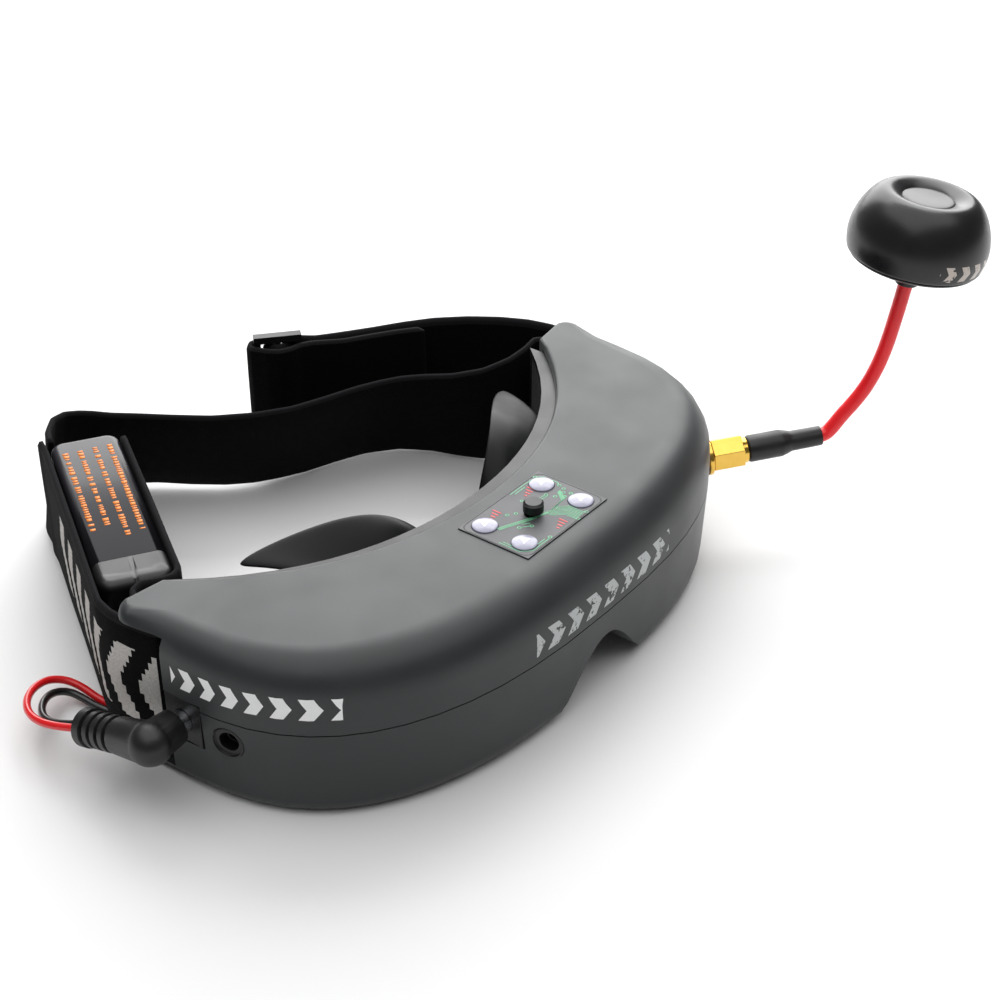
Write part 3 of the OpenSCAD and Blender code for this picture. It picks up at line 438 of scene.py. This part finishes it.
# soft rubber sheets from the eye tray to a free edge
shield = {
    "thick": 1.2, "bulge": 1.1, "centre": (31.5, 30, 20),
    "free": [(52, 49, 35), (46, 47, 37), (39, 42.5, 39.5), (32, 37.5, 41.6), (26.5, 33.5, 42.2),
             (22, 30.6, 41.4), (18.5, 28.6, 39.6), (15, 27, 36.6), (12, 25.8, 32.7), (9.9, 25.2, 28),
             (10.2, 25.8, 22.5), (12.8, 27.2, 17), (18, 29.6, 11.6), (26, 33, 7.8), (35, 37.5, 6),
             (44, 42.5, 6.4)],
    "root": [(44, 29.4, 36), (40.5, 27.8, 35.8), (36.5, 26, 35.6), (32, 24.4, 35.4), (28, 22.8, 35.2),
             (24.5, 21.8, 35), (21, 20.8, 34.6), (17.6, 19.8, 33.6), (14.8, 18.7, 31.8),
             (13.2, 18.5, 28.4), (13.4, 18.5, 24), (17.6, 19.1, 19.6), (24.5, 20.4, 13.2),
             (30, 22, 8.4), (36, 24.4, 6.2), (43, 27.8, 6.4)],
}


def makeShield(name, side, material, node):
    bm = bmesh.new()
    reach = bm.verts.layers.float.new("reach")
    edges = []
    for share, line in ((0, shield["root"]), (1, shield["free"])):
        row = [bm.verts.new((side * x, y, z)) for x, y, z in line]
        for vert in row:
            vert[reach] = share
        edges += [bm.edges.new(pair) for pair in zip(row, row[1:])]
    bmesh.ops.bridge_loops(bm, edges=edges)
    rungs = [edge for edge in bm.edges if edge.verts[0][reach] != edge.verts[1][reach]]
    bmesh.ops.subdivide_edges(bm, edges=rungs, cuts=3, use_grid_fill=True)
    bmesh.ops.recalc_face_normals(bm, faces=bm.faces)
    bm.normal_update()
    centre = Vector(shield["centre"])
    centre.x *= side
    for vert in bm.verts:
        outward = 1 if vert.normal.dot(vert.co - centre) > 0 else -1
        vert.co += vert.normal * outward * shield["bulge"] * math.sin(math.pi * vert[reach])
    piece = finishPiece(bm, name, material, "goggles", (node,))
    addModifier(piece, "SOLIDIFY", thickness=shield["thick"] * mm, offset=0)
    smoothBy(piece, 2)


def makeShields():
    # moulded silicone rubber: dull black with a cool sheen at a low angle and finger-smooth patches
    rubber = plain("siliconeRubber", "#0b0c0d", "#101113", {"Specular IOR Level": 0.14},
                   {"size": 0.5, "depth": 0.004, "patch": 12, "low": 0.36, "high": 0.46})
    makeShield("leftShield", -1, rubber, "light_shield_left")
    makeShield("rightShield", 1, rubber, "light_shield_right")


makeShields()
print("light shields made")

# the CAD webbing gets round edges, a soft ripple and threads that follow its length
webbing = {"width": 36, "thick": 1.8, "cuts": 7, "bound": 0.9, "slant": 55, "crease": 0.5, "wave": 0.045}
stitch = {"long": 1.1, "high": 0.55, "gap": 0.09, "fuzz": 1.4, "depth": 0.12}
ripple = {"pocket": 0.1, "band": 0.35, "tail": 0.1}


def webbingWeave(name, bands=()):
    # knitted elastic: dull black yarn in short stitches, with white yarn arrows inside the bands given
    material, tree, shader = newMaterial(name, "#060607", {"Roughness": 0.9, "Sheen Weight": 0.02,
                                                          "Sheen Roughness": 0.5,
                                                          "Specular IOR Level": 0.06})
    thread = addNode(tree, "UVMap", uv_map="threads").outputs["UV"]
    knit = addNode(tree, "TexBrick", {"Vector": thread, "Scale": 1, "Brick Width": stitch["long"],
                                      "Row Height": stitch["high"], "Mortar Size": stitch["gap"],
                                      "Mortar Smooth": 1},
                   offset=0.5)
    gap = knit.outputs["Fac"]
    high = addNode(tree, "Math", {0: 1.0, 1: gap}, operation="SUBTRACT").outputs[0]
    fuzz = addNode(tree, "TexNoise", {"Vector": thread, "Scale": stitch["fuzz"], "Detail": 4})
    height = addNode(tree, "Math", {0: fuzz.outputs["Fac"], 1: 0.5, 2: high},
                     operation="MULTIPLY_ADD").outputs[0]
    bump = addNode(tree, "Bump", {"Height": height, "Distance": stitch["depth"] * mm, "Strength": 0.9})
    tree.links.new(bump.outputs["Normal"], shader.inputs["Normal"])
    yarn = addNode(tree, "Mix", {"Factor": fuzz.outputs["Fac"], "A": srgb("#030304"), "B": srgb("#0a0a0b")},
                   data_type="RGBA")
    colour = yarn.outputs["Result"]
    # the arrows follow whole stitches, so their edges step as a woven picture does
    cell = addNode(tree, "VectorMath", {0: thread, 1: (stitch["long"], stitch["high"], 1)}, operation="SNAP")
    axis = addNode(tree, "SeparateXYZ", {"Vector": cell.outputs["Vector"]}).outputs
    for band in bands:
        mask = both(tree, between(tree, axis["X"], band["from"], band["to"]),
                    between(tree, axis["Y"], band["low"], band["high"]),
                    chevrons(tree, axis["X"], axis["Y"], band))
        pale = addNode(tree, "Mix", {"Factor": fuzz.outputs["Fac"], "A": srgb("#a9a6a2"),
                                     "B": srgb("#e6e3df")}, data_type="RGBA")
        colour = addNode(tree, "Mix", {"Factor": mask, "A": colour, "B": pale.outputs["Result"]},
                         data_type="RGBA").outputs["Result"]
    # the bound edges of the webbing catch a little more light
    edge = addNode(tree, "Math", {0: addNode(tree, "SeparateXYZ", {"Vector": thread}).outputs["Y"]},
                   operation="ABSOLUTE").outputs[0]
    bound = addNode(tree, "Math", {0: edge, 1: webbing["width"] / 2 - webbing["bound"]},
                    operation="GREATER_THAN").outputs[0]
    colour = addNode(tree, "Mix", {"Factor": bound, "A": colour, "B": srgb("#1d1c1e")},
                     data_type="RGBA").outputs["Result"]
    tree.links.new(colour, shader.inputs["Base Color"])
    return material


def makeStrap(node, name, material, sway):
    bm = copyOf(node)
    width = [e for e in bm.edges if abs(e.calc_length() - webbing["width"]) < 0.012]
    thick = [e for e in bm.edges if abs(e.calc_length() - webbing["thick"]) < 0.006]
    kept = set(width) | set(thick)
    slants = [e for e in bm.edges if e not in kept and len(e.link_faces) == 2
              and e.calc_face_angle() < math.radians(webbing["slant"])]
    bmesh.ops.dissolve_edges(bm, edges=slants, use_verts=False)
    along = bm.verts.layers.float.new("along")
    across = bm.verts.layers.float.new("across")
    # walk from one cut end to the other, ring by ring
    cap = next(f for f in bm.faces if len(f.verts) == 4 and all(e in kept for e in f.edges))
    ring, seen, far = list(cap.verts), set(), 0.0
    while ring:
        middle = sum((v.co.z for v in ring), 0.0) / len(ring)
        for vert in ring:
            vert[along] = far
            vert[across] = webbing["width"] / 2 * (1 if vert.co.z > middle else -1)
        seen.update(ring)
        steps = [e for v in ring for e in v.link_edges if e not in kept and e.other_vert(v) not in seen]
        far += sum(e.calc_length() for e in steps) / max(len(steps), 1)
        ring = list({v for e in steps for v in e.verts if v not in seen})
    layers = bm.edges.layers.float
    crease = layers.get("crease_edge") or layers.new("crease_edge")
    for edge in bm.edges:
        if edge not in kept and len(edge.link_faces) == 2:
            edge[crease] = webbing["crease"]
    bmesh.ops.subdivide_edges(bm, edges=[e for e in width if e.is_valid], cuts=webbing["cuts"],
                              use_grid_fill=True)
    for vert in bm.verts:
        vert.co += noise.noise_vector(vert.co * webbing["wave"]) * sway
    threads = bm.loops.layers.uv.new("threads")
    for face in bm.faces:
        for loop in face.loops:
            loop[threads].uv = (loop.vert[along], loop.vert[across])
    piece = finishPiece(bm, name, material, "goggles", (node,))
    smoothBy(piece, 2)


def makeStraps():
    pocket = webbingWeave("pocketElastic", [{"from": 98, "to": 170, "low": -11, "high": 11, "pitch": 11,
                                             "share": 0.5, "slope": 0.55}])
    band = webbingWeave("bandElastic", [{"from": 268, "to": 318, "low": -10, "high": 10, "pitch": 12,
                                         "share": 0.5, "slope": 0.55}])
    tail = webbingWeave("tailElastic")
    makeStrap("strap_left", "pocketStrap", pocket, ripple["pocket"])
    makeStrap("strap_band", "longStrap", band, ripple["band"])
    makeStrap("strap_tail", "strapTail", tail, ripple["tail"])


makeStraps()
print("straps made")

battery = {"at": (-54.7, 87.1, 3.6), "turn": 58.3, "long": 67, "thick": 17.5, "high": 35, "cap": 10,
           "gap": 0.15, "corner": 3.4, "edge": 2.2, "cuts": (-0.9, -0.28, 0.28, 0.9), "groove": 0.5}
notes = {"across": (-5.6, -1.9, 1.9, 5.6), "from": -15, "to": 29, "tall": 1.5, "proud": 0.05,
         "dash": (0.5, 0.7, 0.9, 1.2), "space": (0.35, 0.35, 0.35, 1.3)}


def batteryFrame():
    return Matrix.Translation(battery["at"]) @ Matrix.Rotation(math.radians(battery["turn"]), 4, "Z")


def batteryBlock(low, high):
    # the whole rounded battery, cut to the stretch from low to high along its length
    b = battery
    bm = bmesh.new()
    bmesh.ops.create_cube(bm, size=1)
    bmesh.ops.scale(bm, vec=(b["long"], b["thick"], b["high"]), verts=bm.verts)
    bmesh.ops.translate(bm, vec=(0, 0, b["high"] / 2), verts=bm.verts)
    upright = [e for e in bm.edges if abs(e.verts[0].co.z - e.verts[1].co.z) > 1]
    bmesh.ops.bevel(bm, geom=upright, offset=b["corner"], offset_type="OFFSET", segments=8, profile=0.5,
                    affect="EDGES", material=-1)
    level = [e for e in bm.edges if abs(e.verts[0].co.z - e.verts[1].co.z) < 0.01
             and min(abs(e.verts[0].co.z), abs(e.verts[0].co.z - b["high"])) < 0.01
             and e.calc_face_angle(0) > math.radians(60)]
    bmesh.ops.bevel(bm, geom=level, offset=b["edge"], offset_type="OFFSET", segments=6, profile=0.5,
                    affect="EDGES", material=-1)
    for spot, way in ((low, -1), (high, 1)):
        cut = bmesh.ops.bisect_plane(bm, geom=bm.verts[:] + bm.edges[:] + bm.faces[:], plane_co=(spot, 0, 0),
                                     plane_no=(way, 0, 0), clear_outer=True)
        rim = [e for e in cut["geom_cut"] if isinstance(e, bmesh.types.BMEdge)]
        if rim:
            bmesh.ops.holes_fill(bm, edges=rim)
    return bm


def makeBattery():
    wrap = plain("satinPolycarbonate", "#1d1b20", "#252229", {"Coat Weight": 0.08},
                 {"size": 0.3, "depth": 0.002, "patch": 22, "low": 0.32, "high": 0.4})
    half = battery["long"] / 2
    seam = -half + battery["cap"]
    case = batteryBlock(seam + battery["gap"], half + 1)
    bmesh.ops.transform(case, matrix=batteryFrame(), verts=case.verts)
    shell = finishPiece(case, "batteryCase", wrap, "goggles", ("battery_case",))
    addModifier(shell, "WEIGHTED_NORMAL", keep_sharp=True)
    cap = batteryBlock(-half - 1, seam)
    for spot in battery["cuts"]:
        bmesh.ops.bisect_plane(cap, geom=cap.verts[:] + cap.edges[:] + cap.faces[:], plane_co=(0, spot, 0),
                               plane_no=(0, 1, 0))
    for vert in cap.verts:
        if abs(vert.co.y) < 0.3 and vert.co.x < seam - 0.6:
            vert.co.x += battery["groove"] if vert.co.x < -half + 1.5 else 0
            vert.co.z -= battery["groove"] if vert.co.z > battery["high"] - 1.5 else 0
    bmesh.ops.transform(cap, matrix=batteryFrame(), verts=cap.verts)
    end = finishPiece(cap, "batteryCap", finishes["blackAbs"], "goggles",
                      ("battery_cap",))
    addModifier(end, "WEIGHTED_NORMAL", keep_sharp=True)
    # rows of plain dashes where such a pack has its handling notes
    ink = plain("orangeInk", "#e0761a", "#f08a24", {}, {"size": 0.3, "depth": 0.002, "patch": 3,
                                                       "low": 0.45, "high": 0.55})
    pick = random.Random(4)
    bm = bmesh.new()
    for side in notes["across"]:
        spot = notes["from"] + pick.uniform(0, 7)
        while spot < notes["to"] - 2:
            long = pick.choice(notes["dash"])
            made = bmesh.ops.create_cube(bm, size=1)["verts"]
            bmesh.ops.scale(bm, vec=(long, notes["tall"] * pick.uniform(0.7, 1), notes["proud"]), verts=made)
            bmesh.ops.translate(bm, vec=(spot + long / 2, side, battery["high"] + notes["proud"] / 2),
                                verts=made)
            spot += long + pick.choice(notes["space"])
    bmesh.ops.transform(bm, matrix=batteryFrame(), verts=bm.verts)
    finishPiece(bm, "batteryPrint", ink, "goggles", ("battery_label",))


panel = {"wide": 31.4, "deep": 20.4, "top": 42.3, "corner": 2.2, "inset": 0.7, "proud": 0.05}
inkGrain = {"size": 0.3, "depth": 0.001, "patch": 3, "low": 0.4, "high": 0.5}
mark = {"ball": 8, "top": 43.2, "proud": 0.03, "radius": 1.5, "across": 11.2, "deep": 5.8}


def flatLines(name, lines, width, material):
    # thin printed lines on the panel, each a list of (x, y)
    curve = bpy.data.curves.new(name, "CURVE")
    curve.dimensions = "3D"
    curve.bevel_depth = width / 2
    curve.bevel_resolution = 1
    for line in lines:
        spline = curve.splines.new("POLY")
        spline.points.add(len(line) - 1)
        for point, (x, y) in zip(spline.points, line):
            point.co = (x, y, 0, 1)
        spline.use_cyclic_u = line[0] == line[-1]
    curve.use_fill_caps = True
    holder = bpy.data.objects.new(name + "Line", curve)
    scene.collection.objects.link(holder)
    mesh = bpy.data.meshes.new_from_object(holder.evaluated_get(bpy.context.evaluated_depsgraph_get()))
    bpy.data.objects.remove(holder)
    bm = bmesh.new()
    bm.from_mesh(mesh)
    bmesh.ops.scale(bm, vec=(1, 1, 2 * panel["proud"] / width), verts=bm.verts)
    bmesh.ops.translate(bm, vec=(0, 0, panel["top"]), verts=bm.verts)
    return finishPiece(bm, name, material, "goggles")


def roundedOutline(wide, deep, corner):
    points = []
    for sx, sy, start in ((1, 1, 0), (-1, 1, 90), (-1, -1, 180), (1, -1, 270)):
        for step in range(5):
            a = math.radians(start + 22.5 * step)
            points.append((sx * (wide / 2 - corner) + corner * math.cos(a),
                           sy * (deep / 2 - corner) + corner * math.sin(a)))
    return points + [points[0]]


def ringAt(x, y, radius):
    turns = [math.tau * i / 10 for i in range(10)]
    return [(x + radius * math.cos(a), y + radius * math.sin(a)) for a in turns] + [(x + radius, y)]


def makeButtonMark(node, x, y, ink):
    # a small raised triangle that follows the button's dome
    bm = bmesh.new()
    bmesh.ops.create_circle(bm, segments=3, radius=mark["radius"], cap_ends=True)
    bmesh.ops.subdivide_edges(bm, edges=bm.edges, cuts=5, use_grid_fill=True)
    bmesh.ops.triangulate(bm, faces=bm.faces)
    for vert in bm.verts:
        reach = vert.co.x ** 2 + vert.co.y ** 2
        vert.co.z = math.sqrt(mark["ball"] ** 2 - reach) - mark["ball"] + mark["top"] + mark["proud"]
    bmesh.ops.translate(bm, vec=(x, y, 0), verts=bm.verts)
    words = node.split("_")
    name = words[0] + words[1].title() + words[2].title() + "Mark"
    finishPiece(bm, name, ink, frame["nodes"][node]["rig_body"])


def makePanelPrint():
    green = plain("greenInk", "#62b183", "#7ccb9b", {}, inkGrain)
    red = plain("redInk", "#c8353c", "#d9474c", {}, inkGrain)
    black = plain("blackInk", "#141416", "#1c1c1f", {}, inkGrain)
    border = roundedOutline(panel["wide"] - panel["inset"], panel["deep"] - panel["inset"], panel["corner"])
    flatLines("panelBorder", [border], 0.3, black)
    tracks = [[(x, -9.4), (x, -6.2 + 0.2 * i), (x - 2.2, -4 + 0.2 * i), (x - 2.2, -1.6 - 0.3 * i)]
              for i, x in enumerate(4.2 + 0.5 * n for n in range(8))]
    tracks += [[(2.8 + 0.42 * n, -2.6), (8.6 + 0.42 * n, -2.6 + 0.5), (11 + 0.3 * n, 0.9)] for n in range(4)]
    tracks += [[(-10.5, 3 - 0.42 * n), (-3, -0.2 - 0.42 * n), (2.6, -2.4 - 0.2 * n)] for n in range(3)]
    tracks += [[(3, 9.2), (9.4, 9.2), (10.6, 9)], [(4, 8.4), (8, 8.4)],
               [(13.4, 8.9), (14.4, 7.4), (14.4, 3.4), (13.8, 2.6)],
               [(-14.6, -1), (-14.6, -7), (-12.4, -9.2), (-6, -9.2)],
               [(-13.9, -1.6), (-13.9, -6.6), (-12.1, -8.5), (-7, -8.5)],
               [(8, 2.4), (3.6, 3.2), (2.6, 5)], [(8.2, 1.7), (3.4, 2.5), (2, 4.4)],
               [(-6.6, -1.2), (-4.8, -2.6)], [(-5.4, -0.6), (-3.8, -1.9)]]
    pads = [(11.1, 8.9), (13, 9.2), (13.6, 2.3), (-5.6, -9), (8.3, 2.4), (2.6, 5.3), (-6.9, -1),
            (-4.5, -2.9), (10.4, -1.6), (11.6, -0.4), (12.4, -2), (13, 0.6), (9, 0.2), (8.2, -9.6),
            (-2.6, 3.2), (-4.4, 4.4), (4.6, -9.7)]
    tracks += [ringAt(x, y, 0.42) for x, y in pads]
    flatLines("panelTracks", tracks, 0.26, green)
    # red setting marks: rising bars beside each pair of buttons
    marks = []
    for x, y in ((-1.4, -7.6), (5, 6.6), (-8, 7)):
        marks += [[(x + 1.1 * n, y - 1), (x + 1.1 * n, y - 0.2 + 0.55 * n)] for n in range(4)]
    flatLines("panelMarks", marks, 0.5, red)
    # clear embossed film over each dome
    buttonInk = newMaterial("embossedFilm", "#dcdbe8", {"Roughness": 0.3, "Coat Weight": 0.4})[0]
    for row in (1, -1):
        for side in (1, -1):
            node = "button_" + ("rear" if row > 0 else "front") + "_" + ("right" if side > 0 else "left")
            makeButtonMark(node, side * mark["across"], row * mark["deep"], buttonInk)


# finishes for the CAD pieces that keep their shape
finishes = {
    # painted shells, moulded to 2 mm
    "softTouchPaint": softTouchPaint(),
    # spark-eroded mould texture on black ABS
    "blackAbs": plain("blackAbs", "#0a0b0c", "#101112", {},
                      {"size": 0.4, "depth": 0.006, "patch": 10, "low": 0.36, "high": 0.46}),
    # shrunk polyolefin tube: dull, with slight creases
    "heatShrink": plain("heatShrink", "#0c0b0b", "#121111", {},
                        {"size": 0.9, "depth": 0.02, "patch": 4, "low": 0.4, "high": 0.5}),
    # flexible PVC of a plug moulding
    "softPvc": plain("softPvc", "#0d0d0e", "#151517", {},
                     {"size": 0.6, "depth": 0.004, "patch": 7, "low": 0.34, "high": 0.44}),
    # gold flash on turned brass
    "goldPlate": plain("goldPlate", "#e3b34f", "#efc866", {"Metallic": 1},
                       {"size": 0.2, "depth": 0.002, "patch": 2, "low": 0.16, "high": 0.24}),
    # turned stainless steel
    "turnedSteel": plain("turnedSteel", "#b9bcc0", "#caccd0", {"Metallic": 1},
                         {"size": 0.2, "depth": 0.002, "patch": 2, "low": 0.22, "high": 0.32}),
    # screen-printed polyester film
    "polyesterFilm": plain("polyesterFilm", "#3b3c3f", "#454649", {},
                           {"size": 0.5, "depth": 0.002, "patch": 9, "low": 0.4, "high": 0.5}),
    # clear epoxy dome over pearl film
    "pearlDome": plain("pearlDome", "#8f8ea3", "#a3a2b6", {"Coat Weight": 0.6, "Coat Roughness": 0.1},
                       {"size": 0.4, "depth": 0.001, "patch": 3, "low": 0.34, "high": 0.42}),
    # green solder mask over copper
    "solderMask": plain("solderMask", "#14532c", "#1c6a3a", {"Coat Weight": 0.4},
                        {"size": 1, "depth": 0.01, "patch": 4, "low": 0.3, "high": 0.42}),
    # tinned steel can
    "tinnedSteel": plain("tinnedSteel", "#9c9ea2", "#b3b5b8", {"Metallic": 1},
                         {"size": 0.5, "depth": 0.004, "patch": 6, "low": 0.3, "high": 0.45}),
    # blank display panel behind its cover glass
    "displayGlass": plain("displayGlass", "#0c0e13", "#12151b", {"Coat Weight": 1, "Coat Roughness": 0.03},
                          {"size": 1, "depth": 0, "patch": 8, "low": 0.08, "high": 0.12}),
    # lens with a faint violet coating
    "coatedAcrylic": plain("coatedAcrylic", "#dfe4f2", "#e9e6f6", {"Transmission Weight": 1, "IOR": 1.49},
                           {"size": 1, "depth": 0, "patch": 8, "low": 0.02, "high": 0.04}),
    # enamelled copper wire
    "copperWire": plain("copperWire", "#b5683c", "#c77a4b", {"Metallic": 1},
                        {"size": 0.3, "depth": 0.001, "patch": 2, "low": 0.25, "high": 0.35}),
}
keptShapes = {
    "softTouchPaint": {"bevel": 0.3, "nodes": ["top_shell", "bottom_shell"]},
    "blackAbs": {"bevel": 0.25, "nodes": ["rear_faceplate", "lens_barrel_left", "lens_barrel_right",
                                          "power_jack", "av_jack", "av_ring", "strap_slider",
                                          "joystick_cap", "joystick_stem"]},
    "heatShrink": {"bevel": 0.2, "nodes": ["antenna_sleeve", "antenna_collar"]},
    "softPvc": {"bevel": 0.25, "nodes": ["plug_body"]},
    "goldPlate": {"bevel": 0.15, "nodes": ["antenna_nut", "antenna_ferrule", "sma_socket", "sma_washer"]},
    "turnedSteel": {"bevel": 0.1, "nodes": ["plug_barrel", "strap_bar_left", "strap_bar_right",
                                            "joystick_housing", "joystick_gimbal", "screw_front_left",
                                            "screw_front_right", "screw_side_left", "screw_side_right"]},
    "polyesterFilm": {"bevel": 0.08, "nodes": ["control_label"]},
    "pearlDome": {"bevel": 0.1, "nodes": ["button_rear_left", "button_rear_right", "button_front_left",
                                          "button_front_right"]},
    "solderMask": {"bevel": 0.1, "nodes": ["display_board", "button_board", "main_board"]},
    "tinnedSteel": {"bevel": 0.2, "nodes": ["receiver_module"]},
    "displayGlass": {"bevel": 0.2, "nodes": ["display_left", "display_right"]},
    "coatedAcrylic": {"bevel": 0.2, "nodes": ["eyepiece_lens_left", "eyepiece_lens_right"]},
    "copperWire": {"bevel": 0.05, "nodes": ["antenna_lobes"]},
}

for finish, group in keptShapes.items():
    for node in group["nodes"]:
        refine(node, finishes[finish], group["bevel"])
print("rigid pieces refined")

makeBattery()
makePanelPrint()
makeLead()
print("battery, panel print and lead made")
